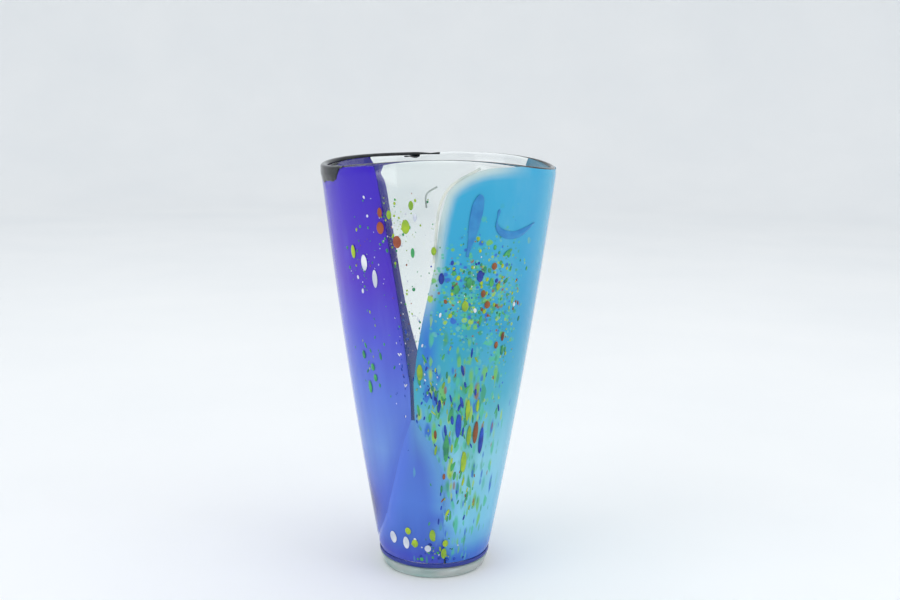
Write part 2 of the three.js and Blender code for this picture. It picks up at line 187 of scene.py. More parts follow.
def new_object(name, verts, faces, material):
    mesh = bpy.data.meshes.new(name)
    mesh.from_pydata(np.asarray(verts).tolist(), [], [list(map(int, f)) for f in faces])
    mesh.update()
    mesh.shade_smooth()
    piece = bpy.data.objects.new(name, mesh)
    bpy.context.scene.collection.objects.link(piece)
    mesh.materials.append(material)
    return piece


def facing_out(piece):
    """Turns the faces of a closed mesh outward."""
    bm = bmesh.new()
    bm.from_mesh(piece.data)
    bmesh.ops.recalc_face_normals(bm, faces=bm.faces)
    bm.to_mesh(piece.data)
    bm.free()
    return piece


def attribute(piece, name, values):
    values = np.asarray(values, np.float32)
    kind = "FLOAT_VECTOR" if values.ndim == 2 else "FLOAT"
    layer = piece.data.attributes.new(name, kind, "POINT")
    layer.data.foreach_set("vector" if values.ndim == 2 else "value", values.ravel())


def piece_of(piece, slot, *nodes):
    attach(piece, "root")
    if nodes:
        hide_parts(*nodes)
    return piece


def wall_attribute(piece, angle, z):
    along = np.radians(angle + 90) * MEAN_RADIUS
    attribute(piece, "wall", np.column_stack([along, z, 0 * z]))


def lathe(name, profile, material, segments, lift=None):
    """A closed turned piece from a profile of (radius, height) that starts and ends on the axis."""
    profile = np.asarray(profile, float)
    ring = profile[1:-1]
    angles = np.linspace(-180, 180, segments, endpoint=False)
    a = np.repeat(angles, len(ring))
    r = np.tile(ring[:, 0], segments)
    z = np.tile(ring[:, 1], segments)
    if lift is not None:
        up = lift(a, z)
        r = r + wall(z + up) - wall(z)
        z = z + up
    verts = np.column_stack([r * np.cos(np.radians(a)), r * np.sin(np.radians(a)), z])
    count = len(ring)
    first, last = len(verts), len(verts) + 1
    verts = np.vstack([verts, [0, 0, profile[0, 1]], [0, 0, profile[-1, 1]]])
    faces = []
    for i in range(segments):
        j = (i + 1) % segments
        here, after = i * count, j * count
        faces += [(here + k, after + k, after + k + 1, here + k + 1) for k in range(count - 1)]
        faces.append((first, after, here))
        faces.append((last, here + count - 1, after + count - 1))
    return facing_out(new_object(name, verts, faces, material))


def arc(r, z, radius, start, end, pieces):
    turn = np.radians(np.linspace(start, end, pieces + 1))
    return np.column_stack([r + radius * np.cos(turn), z + radius * np.sin(turn)])


def shell(name, outer, inner, material):
    """A closed sheet from two grids of points, outer and inner, of the same shape."""
    columns, rows = outer.shape[:2]
    number = np.arange(columns * rows).reshape(columns, rows)
    back = number + columns * rows
    faces = np.concatenate([
        np.stack([number[:-1, :-1], number[1:, :-1], number[1:, 1:], number[:-1, 1:]], -1).reshape(-1, 4),
        np.stack([back[:-1, :-1], back[:-1, 1:], back[1:, 1:], back[1:, :-1]], -1).reshape(-1, 4),
        np.stack([number[:-1, 0], back[:-1, 0], back[1:, 0], number[1:, 0]], -1),
        np.stack([number[:-1, -1], number[1:, -1], back[1:, -1], back[:-1, -1]], -1),
        np.stack([number[0, :-1], number[0, 1:], back[0, 1:], back[0, :-1]], -1),
        np.stack([number[-1, :-1], back[-1, :-1], back[-1, 1:], number[-1, 1:]], -1),
    ])
    verts = np.vstack([outer.reshape(-1, 3), inner.reshape(-1, 3)])
    return facing_out(new_object(name, verts, faces, material))


# ---------------------------------------------------------------- node materials

GLASS_IOR = 1.5


class Tree:
    """Short calls for the nodes of one material."""

    def __init__(self, name):
        self.material = bpy.data.materials.new(name)
        self.material.use_nodes = True
        self.nodes = self.material.node_tree.nodes
        self.links = self.material.node_tree.links
        self.shader = self.nodes["Principled BSDF"]

    def feed(self, socket, value):
        if isinstance(value, bpy.types.NodeSocket):
            self.links.new(value, socket)
        elif isinstance(value, tuple) and len(value) == 3 and socket.type == "RGBA":
            socket.default_value = (*value, 1)
        else:
            socket.default_value = value

    def node(self, kind, inputs=None, **settings):
        made = self.nodes.new(kind)
        for key, value in settings.items():
            setattr(made, key, value)
        for key, value in (inputs or {}).items():
            self.feed(made.inputs[key], value)
        return made

    def attribute(self, name, output="Fac"):
        return self.node("ShaderNodeAttribute", attribute_name=name).outputs[output]

    def scaled(self, vector, scale):
        return self.node("ShaderNodeMapping", {"Vector": vector, "Scale": scale}).outputs[0]

    def along_wall(self, across, up):
        """The place along the wall, with this many steps of a pattern to the metre."""
        return self.scaled(self.attribute("wall", "Vector"), (across, up, 1))

    def noise(self, vector, detail):
        return self.node(
            "ShaderNodeTexNoise", {"Vector": vector, "Scale": 1.0, "Detail": detail, "Roughness": 0.5}
        ).outputs[0]

    def wall_noise(self, across, up, detail):
        return self.noise(self.along_wall(across, up), detail)

    def body_noise(self, across, up, detail):
        """Noise through the whole body of a piece, for those that have no wall coordinate."""
        where = self.node("ShaderNodeTexCoord").outputs["Object"]
        return self.noise(self.scaled(where, (across, across, up)), detail)

    def height(self):
        where = self.node("ShaderNodeTexCoord").outputs["Object"]
        return self.node("ShaderNodeSeparateXYZ", {0: where}).outputs[2]

    def height_share(self):
        return self.math("DIVIDE", self.height(), PATTERN_HEIGHT)

    def math(self, operation, a, b=0.0):
        return self.node("ShaderNodeMath", {0: a, 1: b}, operation=operation).outputs[0]

    def fit(self, value, low, high, to_low=0.0, to_high=1.0):
        return self.node(
            "ShaderNodeMapRange",
            {"Value": value, "From Min": low, "From Max": high, "To Min": to_low, "To Max": to_high},
            interpolation_type="SMOOTHSTEP",
        ).outputs[0]

    def ramp(self, value, stops, interpolation="LINEAR"):
        made = self.node("ShaderNodeValToRGB", {0: value})
        ramp = made.color_ramp
        ramp.interpolation = interpolation
        for _ in range(len(stops) - 2):
            ramp.elements.new(0.5)
        for element, (position, colour) in zip(ramp.elements, sorted(stops)):
            element.position = position
            element.color = (*colour, 1)
        return made.outputs[0]

    def mix(self, share, a, b):
        made = self.node("ShaderNodeMix", data_type="RGBA")
        self.feed(made.inputs[0], share)
        self.feed(made.inputs[6], a)
        self.feed(made.inputs[7], b)
        return made.outputs[2]

    def bump(self, height, strength, distance):
        return self.node(
            "ShaderNodeBump", {"Height": height, "Strength": strength, "Distance": distance}
        ).outputs[0]

    def finish(self, colour, roughness, transmission=0.0, normal=None, specular=None):
        self.feed(self.shader.inputs["Base Color"], colour)
        self.feed(self.shader.inputs["Roughness"], roughness)
        self.feed(self.shader.inputs["Transmission Weight"], transmission)
        self.feed(self.shader.inputs["IOR"], GLASS_IOR)
        if specular is not None:
            self.feed(self.shader.inputs["Specular IOR Level"], specular)
        if normal is not None:
            self.feed(self.shader.inputs["Normal"], normal)
        return self.material


def clear_glass():
    t = Tree("clear_glass")
    streaks = t.body_noise(14, 3, 2)
    colour = t.ramp(streaks, [(0.3, (0.93, 0.975, 0.96)), (0.7, (0.985, 0.995, 0.99))])
    ripple = t.body_noise(16, 7, 1)
    return t.finish(colour, 0.0, 1.0, normal=t.bump(ripple, 0.25, 0.002))


def foot_glass():
    """Pale cast glass with a painted refraction: teal towards its top, where the cobalt above shows through.
    """
    t = Tree("foot_glass")
    streaks = t.body_noise(30, 90, 2)
    colour = t.ramp(streaks, [(0.35, (0.62, 0.86, 0.80)), (0.65, (0.95, 0.99, 0.95))])
    painted_refraction_teal = (0.22, 0.56, 0.58)
    # painted refraction of the cobalt above, mixed in by height at the top of the foot
    colour = t.mix(t.fit(t.height(), 0.006, 0.013, 0.0, 0.55), colour, painted_refraction_teal)
    ripple = t.body_noise(40, 60, 1)
    return t.finish(colour, 0.02, 0.55, normal=t.bump(ripple, 0.2, 0.001))


# the cobalt by height: partly its own colour, partly painted shade towards the lip and painted light in the
# cornflower middle
COBALT_WITH_PAINTED_SHADE_BY_HEIGHT = [
    (0.04, (0.04, 0.07, 0.40)),
    (0.12, (0.10, 0.12, 0.50)),
    (0.19, (0.12, 0.20, 0.86)),
    (0.32, (0.24, 0.46, 1.00)),
    (0.46, (0.18, 0.33, 1.00)),
    (0.60, (0.13, 0.15, 0.90)),
    (0.72, (0.13, 0.045, 0.76)),
    (1.0, (0.055, 0.012, 0.70)),
]


def cobalt_glass():
    """Deep violet blue near the lip, cornflower where the glass is drawn thin, indigo at the heel. The height
    ramp is partly painted: painted shade deepens it towards the lip, and painted light brightens the
    cornflower.
    """
    t = Tree("cobalt_glass")
    violet, lavender = (0.035, 0.012, 0.60), (0.26, 0.28, 0.95)
    tongue_blue, smoke = (0.13, 0.24, 0.90), (0.06, 0.04, 0.12)
    # painted shade and painted light by height, over the glass's own blues
    base = t.ramp(t.height_share(), COBALT_WITH_PAINTED_SHADE_BY_HEIGHT)
    streaks = t.wall_noise(26, 3.0, 3)
    base = t.mix(t.fit(streaks, 0.35, 0.75, 0.0, 0.30), base, violet)
    veil = t.wall_noise(60, 8.0, 4)
    base = t.mix(t.fit(veil, 0.5, 0.8, 0.0, 0.22), base, lavender)
    base = t.mix(t.math("MULTIPLY", t.attribute("melt"), 0.75), base, tongue_blue)
    base = t.mix(t.attribute("dark"), base, smoke)
    ripple = t.wall_noise(22, 6, 1)
    return t.finish(base, 0.06, 0.35, normal=t.bump(ripple, 0.15, 0.002), specular=0.3)


WOBBLES = 2.2         # unevenness of a melted chip's outline, to one cell of its pattern
WOBBLE_REACH = 0.3
LEAST_CHIP = 0.35     # the smallest chip of a layer, as a share of its largest

CHIP_COLOURS = [
    (0.00, (0.05, 0.33, 0.16)),
    (0.22, (0.08, 0.50, 0.30)),
    (0.42, (0.16, 0.50, 0.10)),
    (0.58, (0.34, 0.58, 0.05)),
    (0.70, (0.03, 0.13, 0.56)),
    (0.82, (0.12, 0.48, 0.46)),
    (0.93, (0.28, 0.10, 0.03)),
]


def chip_layer(t, base, across, up, density, size, soft, strength):
    """Melted chips in the glass: one in each cell of a pattern, where `density` lets it be."""
    where = t.along_wall(across, up)
    cells = t.node("ShaderNodeTexVoronoi", {"Vector": where, "Scale": 1.0, "Randomness": 1.0})
    cells.voronoi_dimensions = "2D"
    parts = t.node("ShaderNodeSeparateColor", {0: cells.outputs["Color"]})
    wobble = t.wall_noise(across * WOBBLES, up * WOBBLES, 2)
    astray = t.math("MULTIPLY", t.math("SUBTRACT", wobble, 0.5), WOBBLE_REACH)
    distance = t.math("ADD", cells.outputs["Distance"], astray)
    own_size = t.math("MULTIPLY_ADD", parts.outputs[0], size)
    own_size.node.inputs[2].default_value = size * LEAST_CHIP
    spot = t.fit(t.math("SUBTRACT", own_size, distance), -soft, soft)
    there = t.fit(t.math("SUBTRACT", density, parts.outputs[1]), 0.0, 0.08)
    colour = t.ramp(parts.outputs[2], CHIP_COLOURS, "CONSTANT")
    share = t.math("MULTIPLY", t.math("MULTIPLY", spot, there), strength)
    return t.mix(share, base, colour)


TURQUOISE_BY_HEIGHT = [
    (0.04, (0.05, 0.20, 0.60)),
    (0.14, (0.21, 0.58, 0.80)),
    (0.30, (0.26, 0.62, 0.76)),
    (0.46, (0.07, 0.42, 0.56)),
    (0.62, (0.02, 0.33, 0.56)),
    (0.85, (0.03, 0.39, 0.63)),
    (1.0, (0.04, 0.42, 0.66)),
]


def turquoise_glass():
    """Sky blue with green smears and two sizes each of round and drawn-out chips melted in."""
    t = Tree("turquoise_glass")
    deep, pale, tongue_blue = (0.03, 0.33, 0.64), (0.20, 0.55, 0.72), (0.09, 0.24, 0.70)
    cream, smear, ink = (0.66, 0.74, 0.68), (0.05, 0.38, 0.24), (0.03, 0.12, 0.62)
    base = t.ramp(t.height_share(), TURQUOISE_BY_HEIGHT)
    streaks = t.wall_noise(16, 2.5, 3)
    base = t.mix(t.fit(streaks, 0.35, 0.7, 0.0, 0.45), base, deep)
    clouds = t.wall_noise(30, 12, 4)
    base = t.mix(t.fit(clouds, 0.45, 0.8, 0.0, 0.35), base, pale)
    base = t.mix(t.math("MULTIPLY", t.attribute("melt"), 0.75), base, tongue_blue)
    base = t.mix(t.attribute("cream"), base, cream)
    green = t.math("MULTIPLY", t.attribute("green"), t.fit(t.wall_noise(60, 14, 3), 0.35, 0.7))
    base = t.mix(t.math("MULTIPLY", green, 0.8), base, smear)
    base = t.mix(t.attribute("blue"), base, ink)
    base = chip_layer(t, base, 230, 210, t.attribute("fine"), 0.44, 0.16, 0.9)
    base = chip_layer(t, base, 420, 400, t.attribute("fine"), 0.40, 0.12, 0.8)
    base = chip_layer(t, base, 190, 62, t.attribute("long"), 0.46, 0.24, 0.85)
    base = chip_layer(t, base, 330, 120, t.attribute("long"), 0.42, 0.22, 0.75)
    ripple = t.wall_noise(24, 8, 1)
    return t.finish(base, 0.07, normal=t.bump(ripple, 0.12, 0.002), specular=0.35)


TONGUE_BY_HEIGHT = [
    (0.03, (0.035, 0.045, 0.34)),
    (0.09, (0.045, 0.11, 0.52)),
    (0.20, (0.075, 0.18, 0.64)),
    (0.30, (0.075, 0.15, 0.58)),
    (0.40, (0.075, 0.14, 0.42)),
]


def tongue_glass():
    """Mid blue that takes on its neighbours' colour along each edge."""
    t = Tree("mid_blue_glass")
    bright, left_blue, right_blue = (0.09, 0.22, 0.70), (0.10, 0.19, 0.74), (0.14, 0.42, 0.72)
    indigo, smear = (0.05, 0.07, 0.55), (0.12, 0.34, 0.30)
    base = t.ramp(t.height_share(), TONGUE_BY_HEIGHT)
    streaks = t.wall_noise(22, 3, 3)
    base = t.mix(t.fit(streaks, 0.35, 0.75, 0.0, 0.5), base, bright)
    base = t.mix(t.math("MULTIPLY", t.attribute("to_left"), 0.7), base, left_blue)
    base = t.mix(t.math("MULTIPLY", t.attribute("to_right"), 0.6), base, right_blue)
    base = t.mix(t.attribute("blue"), base, indigo)
    green = t.math("MULTIPLY", t.attribute("green"), t.fit(t.wall_noise(60, 14, 3), 0.4, 0.75))
    base = t.mix(t.math("MULTIPLY", green, 0.5), base, smear)
    base = chip_layer(t, base, 190, 62, t.attribute("long"), 0.42, 0.16, 0.55)
    ripple = t.wall_noise(24, 8, 1)
    return t.finish(base, 0.07, normal=t.bump(ripple, 0.12, 0.002), specular=0.35)


def smoky_glass():
    t = Tree("smoky_glass")
    cloud = t.body_noise(60, 25, 4)
    colour = t.ramp(cloud, [(0.35, (0.006, 0.007, 0.010)), (0.7, (0.030, 0.034, 0.038))])
    ripple = t.body_noise(40, 40, 1)
    return t.finish(colour, 0.12, normal=t.bump(ripple, 0.15, 0.001), specular=0.2)


def chip_glass(name, light, dark):
    """Opaque chip glass whose shade shifts from chip to chip."""
    t = Tree(name)
    shade = t.body_noise(90, 90, 2)
    colour = t.ramp(shade, [(0.35, dark), (0.62, light)])
    grain = t.body_noise(900, 900, 2)
    return t.finish(colour, 0.08, normal=t.bump(grain, 0.1, 0.0003), specular=0.35)


CLEAR = clear_glass()
FOOT = foot_glass()
COBALT = cobalt_glass()
TURQUOISE = turquoise_glass()
TONGUE = tongue_glass()
SMOKE = smoky_glass()
OPAL = chip_glass("opal_cream_glass", (0.72, 0.74, 0.66), (0.50, 0.58, 0.55))
SILVER = chip_glass("silver_glass", (0.42, 0.48, 0.45), (0.25, 0.30, 0.28))
SHARD = chip_glass("blue_shard_glass", (0.035, 0.27, 0.58), (0.025, 0.19, 0.50))
CHIPS = {
    "lime": chip_glass("lime_chip_glass", (0.40, 0.56, 0.03), (0.20, 0.38, 0.04)),
    "orange": chip_glass("orange_chip_glass", (0.42, 0.10, 0.035), (0.27, 0.06, 0.03)),
    "white": chip_glass("white_chip_glass", (0.82, 0.84, 0.88), (0.58, 0.62, 0.72)),
    "green": chip_glass("green_chip_glass", (0.07, 0.42, 0.12), (0.03, 0.22, 0.12)),
    "brown": chip_glass("brown_chip_glass", (0.30, 0.10, 0.03), (0.15, 0.05, 0.03)),
    "blue": chip_glass("blue_chip_glass", (0.02, 0.08, 0.50), (0.01, 0.03, 0.25)),
}


# ---------------------------------------------------------------- vessel, foot and the sheet between

def vessel():
    angle, _, z = polar(cad_points("vessel"))
    tops = {}
    for a, h in zip(np.round(angle[z > COLUMNS_FROM], 1), z[z > COLUMNS_FROM]):
        tops[a] = max(h, tops.get(a, 0))
    at = np.array(sorted(tops))
    height = np.array([tops[a] for a in at])

    def lift(a, z):
        top = np.interp(a, at, height, period=360)
        return (top - RIM_HEIGHT) * smooth(z, WAVE_START, RIM_HEIGHT)

    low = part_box("vessel")[0].z
    half = (wall(RIM_HEIGHT) - inside(RIM_HEIGHT)) / 2
    shoulder = RIM_HEIGHT - half
    corner = VESSEL_FLOOR + FLOOR_FILLET
    outer = np.linspace(low + HEEL_BEVEL, shoulder, 60)
    inner = np.linspace(shoulder, corner, 60)
    profile = np.vstack([
        [[0, low]],
        [[wall(low) - HEEL_BEVEL - 0.001, low]],
        arc(wall(low + HEEL_BEVEL) - HEEL_BEVEL, low + HEEL_BEVEL, HEEL_BEVEL, -80, -10, 6),
        np.column_stack([wall(outer), outer]),
        arc(wall(shoulder) - half, shoulder, half, 0, 180, 16)[1:-1],
        np.column_stack([inside(inner), inner]),
        arc(inside(corner) - FLOOR_FILLET, corner, FLOOR_FILLET, 0, -88, 10)[1:],
        [[0.010, VESSEL_FLOOR - 0.8 * FLOOR_DISH]],
        [[0, VESSEL_FLOOR - FLOOR_DISH]],
    ])
    piece = lathe("vessel_glass", profile, CLEAR, 224, lift)
    return piece_of(piece, "clear_glass", "vessel")


def foot():
    low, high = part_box("foot")
    shoulder = high.x
    base = shoulder - FOOT_SLOPE
    turn = np.linspace(0.1, math.pi / 2, 6)
    profile = np.vstack([
        [[0, low.z + PONTIL_DEPTH]],
        np.column_stack([np.linspace(0.002, PONTIL_RADIUS, 6), low.z + PONTIL_DEPTH * np.cos(turn)]),
        arc(base - FOOT_FILLET, low.z + FOOT_FILLET, FOOT_FILLET, -90, -20, 8),
        arc(shoulder - SHOULDER_FILLET, high.z - SHOULDER_FILLET, SHOULDER_FILLET, -20, 90, 8),
        [[0, high.z]],
    ])
    return piece_of(lathe("foot_glass", profile, FOOT, 160), "clear_glass", "foot")


def base_sheet():
    low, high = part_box("base_sheet")
    outside = high.x
    brim = outside - SHEET
    top = low.z + BASE_THICK
    profile = np.vstack([
        [[0, low.z]],
        [[outside - BASE_FLARE, low.z]],
        arc(outside - BASE_BEVEL, low.z + BASE_BEVEL, BASE_BEVEL, -80, 0, 6),
        # the melted edge of the brim
        [[outside, high.z - 0.4 * MM]],
        [[outside - 0.3 * MM, high.z]],
        [[brim + 0.2 * MM, high.z]],
        [[brim, high.z - 0.5 * MM]],
        # and down to the floor of the cup
        [[brim - BASE_FLARE, low.z + BASE_BEVEL]],
        [[brim - BASE_FILLET, top]],
        [[0, top]],
    ])
    piece = lathe("base_sheet_glass", profile, COBALT, 160)
    return piece_of(piece, "cobalt_glass", "base_sheet")


# ---------------------------------------------------------------- coloured sheets

def outline(node, cut):
    """Angles of a sheet's columns, with the lowest and highest point of each."""
    angle, _, z = polar(cad_points(node), cut)
    low, high = {}, {}
    for a, h in zip(np.round(angle, 1), z):
        low[a] = min(h, low.get(a, 9))
        high[a] = max(h, high.get(a, 0))
    at = np.array(sorted(low))
    return at, np.array([low[a] for a in at]), np.array([high[a] for a in at])


OUTLINES = {node: outline(node, cut) for node, cut in SHEET_CUTS.items()}


def softened(values, steps):
    """A line with its corners rounded over a number of steps, its ends kept."""
    kernel = np.hanning(2 * steps + 1)
    kernel /= kernel.sum()
    padded = np.concatenate([
        2 * values[0] - values[steps:0:-1],
        values,
        2 * values[-1] - values[-2:-steps - 2:-1],
    ])
    return np.convolve(padded, kernel, "valid")


def closing(line, angles, widest):
    """A sheet's edge moved out by half the seam that the CAD leaves between neighbours."""
    past_middle = SEAM / 2 + SEAM_OVERLAP
    reach = np.degrees(SEAM_REACH / wall(line))
    moved = line
    for share in (-1, -0.5, 0.5, 1):
        moved = widest(moved, np.interp(angles + share * reach, angles, line))
    return moved + (past_middle if widest is np.maximum else -past_middle)


def near_tongue(angle, z):
    """1 beside the tongue's outline, falling to 0 over the width where the glasses run together."""
    at, _, high = OUTLINES["tongue_sheet"]
    fine = np.linspace(at[0], at[-1], 160)
    distance = np.full(angle.shape, MELT)
    for ta, tz in zip(fine, np.interp(fine, at, high)):
        away = (angle - ta + 180) % 360 - 180
        distance = np.minimum(distance, np.hypot(np.radians(away) * wall(z), z - tz))
    return 1 - smooth(distance, 0, MELT)


# where patterns lie on the sheets: angle and height of the middle, reach round and reach up
FLECKS = (-70, 0.245, 20, 0.035)
SIDE_FLECKS = (-50, 0.215, 10, 0.060)
STREAKS = (-75, 0.150, 25, 0.050)
LOW_STREAKS = (-60, 0.075, 20, 0.035)
BOTTOM_STREAKS = (-85, 0.030, 25, 0.015)
BLUE_PATCH = (-95, 0.200, 5, 0.035)
DARK_WEDGE = (-165, 0.060, 15, 0.015)
BLUE_HEEL = (0.016, 0.034)       # heights between which the blue of the heel fades
CREAM_WIDTH = (0.0005, 0.010)    # distances from the edge between which the cream fades
CREAM_HEIGHT = (0.20, 0.27)
CREAM_TURN = (-40, -70)
TIP_TURN = 6                     # degrees either side of the tongue's tip where its sides change over


def blob(angle, z, middle_angle, middle_z, round_reach, up_reach):
    return np.exp(-(((angle - middle_angle) / round_reach) ** 2) - ((z - middle_z) / up_reach) ** 2)


def patterns(piece, a, z, edge, tip):
    """What the sheets' materials read at each point; `edge` is the distance to the sheet's edge."""

    def store(name, values):
        values = np.clip(values, 0, 1).ravel()
        attribute(piece, name, np.concatenate([values, values]))

    flecks, streaks, low_streaks = blob(a, z, *FLECKS), blob(a, z, *STREAKS), blob(a, z, *LOW_STREAKS)
    store("fine", 0.85 * flecks + 0.35 * blob(a, z, *SIDE_FLECKS))
    store("long", 0.95 * streaks + 0.45 * low_streaks + 0.35 * blob(a, z, *BOTTOM_STREAKS))
    store("green", 0.55 * flecks + 0.9 * streaks + 0.3 * low_streaks)
    cream = (1 - smooth(edge, *CREAM_WIDTH)) * smooth(z, *CREAM_HEIGHT) * smooth(a, *CREAM_TURN)
    store("cream", 0.85 * cream)
    store("blue", 0.75 * blob(a, z, *BLUE_PATCH) + 0.8 * (1 - smooth(z, *BLUE_HEEL)))
    melt = near_tongue(a, z)
    right_share = smooth(a, tip - TIP_TURN, tip + TIP_TURN)
    store("melt", melt)
    store("to_left", melt * (1 - right_share))
    store("to_right", melt * right_share)
    store("dark", 0.7 * blob(a, z, *DARK_WEDGE))


COLUMN_STEP = 0.5    # degrees
ROWS = 56


def sheet(name, node, material, slot):
    """A coloured sheet over its CAD outline, thin at its edges, with its edges out over the seams."""
    at, low, high = OUTLINES[node]
    count = int((at[-1] - at[0]) / COLUMN_STEP) + 2
    spread = np.degrees(SEAM_REACH / wall(low[[0, -1]]))
    angles = np.linspace(at[0] - spread[0], at[-1] + spread[1], count)
    low = np.interp(angles, at, low)
    low = np.minimum(low, softened(low, 3))
    high = softened(np.interp(angles, at, high), 3)
    low = closing(low, angles, np.minimum)
    high = closing(high, angles, np.maximum)
    # rows crowd towards both edges, where the sheet thins
    swing = np.cos(np.pi * np.linspace(0, 1, ROWS))
    t = 0.5 - 0.5 * swing * (0.35 + 0.65 * np.abs(swing) ** 0.6)
    t = np.sort(np.clip(t, 0, 1))
    a = np.repeat(angles[:, None], ROWS, 1)
    z = low[:, None] + (high - low)[:, None] * t[None, :]
    border = np.concatenate([
        np.column_stack([angles, low]),
        np.column_stack([angles, high]),
        np.column_stack([np.full(ROWS, angles[0]), z[0]]),
        np.column_stack([np.full(ROWS, angles[-1]), z[-1]]),
    ])
    edge = np.full(a.shape, 1.0)
    for border_a, border_z in border:
        edge = np.minimum(edge, np.hypot(np.radians(a - border_a) * wall(z), z - border_z))
    thick = EDGE + (SHEET - EDGE) * smooth(edge, 0, TAPER)
    piece = shell(name, on_wall(a, z, GAP + thick), on_wall(a, z, GAP), material)
    wall_attribute(piece, np.concatenate([a.ravel(), a.ravel()]), np.concatenate([z.ravel(), z.ravel()]))
    patterns(piece, a, z, edge, angles[int(np.argmax(high))])
    return piece_of(piece, slot, node)


# ---------------------------------------------------------------- lip wrap

HEM_WAVES = ((12.033, 0.5), (26.931, 0.35), (53.289, 0.25))    # waves in a full turn, share of each
HEM_REACH = 1.6 * MM
DRIP_STARTS = (-215, -190)    # degrees between which the hem comes down to the drip
DRIP_ENDS = (1, 6)            # and degrees before the wrap's end in which it goes up again
DRIP_SWELL = 0.9 * MM         # how much thicker the drip is at its hem
START_FADE, END_FADE = 14, 5  # degrees over which the wrap gains its full height at either end
ABOVE_LIP = 0.2 * MM          # the wrap's top, above the line of the lip
CREST_AT_ENDS = 0.3 * MM      # its underside, below that line
CREST_FURTHER_IN = 2.1 * MM   # and how much lower that is away from the ends
INNER_HEM = 1.6 * MM          # how far the underside's own hem lies below the crest


def lip_wrap():
    """A wrap hung over the lip: up its outside from a ragged hem, and over to the inside."""
    angle, _, z = polar(cad_points("lip_wrap"), 0.0)
    start, end = angle.min(), angle.max()
    columns = np.unique(np.round(angle, 1))
    hems = np.array([z[np.abs(angle - c) < 0.2].min() for c in columns])
    angles = np.linspace(start, end, 240)
    line = rim(angles)
    inward = smooth(angles - start, 0, START_FADE) * smooth(end - angles, 0, END_FADE)
    front = smooth(end - angles, *DRIP_ENDS) * smooth(angles, *DRIP_STARTS)
    hem = np.minimum(np.interp(angles, columns, hems), line - FRONT_DRIP * front)
    waves = sum(share * np.sin(np.radians(angles) * count + share * 9) for count, share in HEM_WAVES)
    hem = hem - HEM_REACH * waves * inward
    side = line + ABOVE_LIP - LIP_RISE
    crest = line - CREST_AT_ENDS - CREST_FURTHER_IN * inward
    outer_rows, inner_rows = [], []
    for t in np.linspace(0, 1, 12):
        h = lerp(hem, side, t)
        thick = EDGE + (SHEET - EDGE) * smooth(t, 0, 0.5) + DRIP_SWELL * front * (1 - t)
        outer_rows.append(on_wall(angles, h, GAP + thick))
        inner_rows.append(on_wall(angles, np.minimum(h, crest - INNER_HEM), GAP))
    wide = LIP_THICK + GAP + SHEET
    for t in np.linspace(0, 1, 17)[1:]:
        turn = math.pi * t
        across = -(wide / 2) * (1 - math.cos(turn))
        top_row = on_wall(angles, side, GAP + SHEET + across)
        top_row[:, 2] = side + LIP_RISE * math.sin(turn) * (0.35 + 0.65 * inward)
        outer_rows.append(top_row)
        inner_rows.append(on_wall(angles, crest, GAP - (wide - SHEET) * t))
    outer = np.stack(outer_rows, 1)
    inner = np.stack(inner_rows, 1)
    return piece_of(shell("lip_wrap_glass", outer, inner, SMOKE), "smoky_glass", "lip_wrap")


# ---------------------------------------------------------------- accents and chips from their CAD solids

SUBDIVISIONS = 2
WELD = 1e-6    # CAD corners closer than this are one point


def rounded(node, material, slot, ragged=0.0):
    """A melted copy of a small CAD solid."""
    source = frame["nodes"][node]
    mesh = source.data.copy()
    mesh.materials.clear()
    mesh.materials.append(material)
    piece = bpy.data.objects.new(node + "_glass", mesh)
    bpy.context.scene.collection.objects.link(piece)
    bm = bmesh.new()
    bm.from_mesh(mesh)
    bmesh.ops.remove_doubles(bm, verts=bm.verts, dist=WELD)
    bmesh.ops.join_triangles(bm, faces=bm.faces, angle_face_threshold=0.6, angle_shape_threshold=1.2)
    bmesh.ops.recalc_face_normals(bm, faces=bm.faces)
    if ragged:
        for vert in bm.verts:
            vert.co.x += random.uniform(-ragged, ragged)
            vert.co.z += random.uniform(-ragged, ragged)
    bm.to_mesh(mesh)
    bm.free()
    mesh.shade_smooth()
    modifier = piece.modifiers.new("rounding", "SUBSURF")
    modifier.levels = modifier.render_levels = SUBDIVISIONS
    return piece_of(piece, slot, node)


TORN = ("shard_tall", "shard_crescent")
ACCENTS = {
    "opal_edge_trail": (OPAL, "opal_cream_glass"),
    "silver_thread": (SILVER, "silver_glass"),
    "shard_tall": (SHARD, "blue_shard_glass"),
    "shard_crescent": (SHARD, "blue_shard_glass"),
    "shard_dash": (CHIPS["green"], "green_chip_glass"),
}

vessel()
foot()
base_sheet()
sheet("cobalt_sheet_glass", "cobalt_sheet", COBALT, "cobalt_glass")
sheet("turquoise_sheet_glass", "turquoise_sheet", TURQUOISE, "turquoise_glass")
sheet("tongue_sheet_glass", "tongue_sheet", TONGUE, "mid_blue_glass")
lip_wrap()
for node, (material, slot) in ACCENTS.items():
    rounded(node, material, slot, RAGGED if node in TORN else 0.0)
for node in sorted(frame["nodes"]):
    if node.startswith("chip_"):
        colour = node.split("_")[1]
        rounded(node, CHIPS[colour], colour + "_chip_glass")


# ---------------------------------------------------------------- small specks

SPECK_LIFT = 0.05 * MM      # between a speck and what it lies on
SPECK_THICK = 0.5 * MM
SPECK_FLATNESS = 0.22       # thickness of the smallest ones, to their width
SPECK_SIDES = 10
SPECK_RINGS = [(1.0, 0.0), (0.8, 0.55), (0.45, 0.9)]    # shares of its half width and of its thickness
SPECK_TILT = 0.25           # how far they lean, as a standard deviation in radians
SPECK_SPREAD = 0.6          # of the spreads below, as a standard deviation
SPECK_HEIGHTS = (0.018, 0.335)
MOSTLY_SMALL = 2.2          # a power: the higher, the fewer large ones
NEAR_SHEET = 0.003          # a speck this close to a sheet lies as high as if it were on it


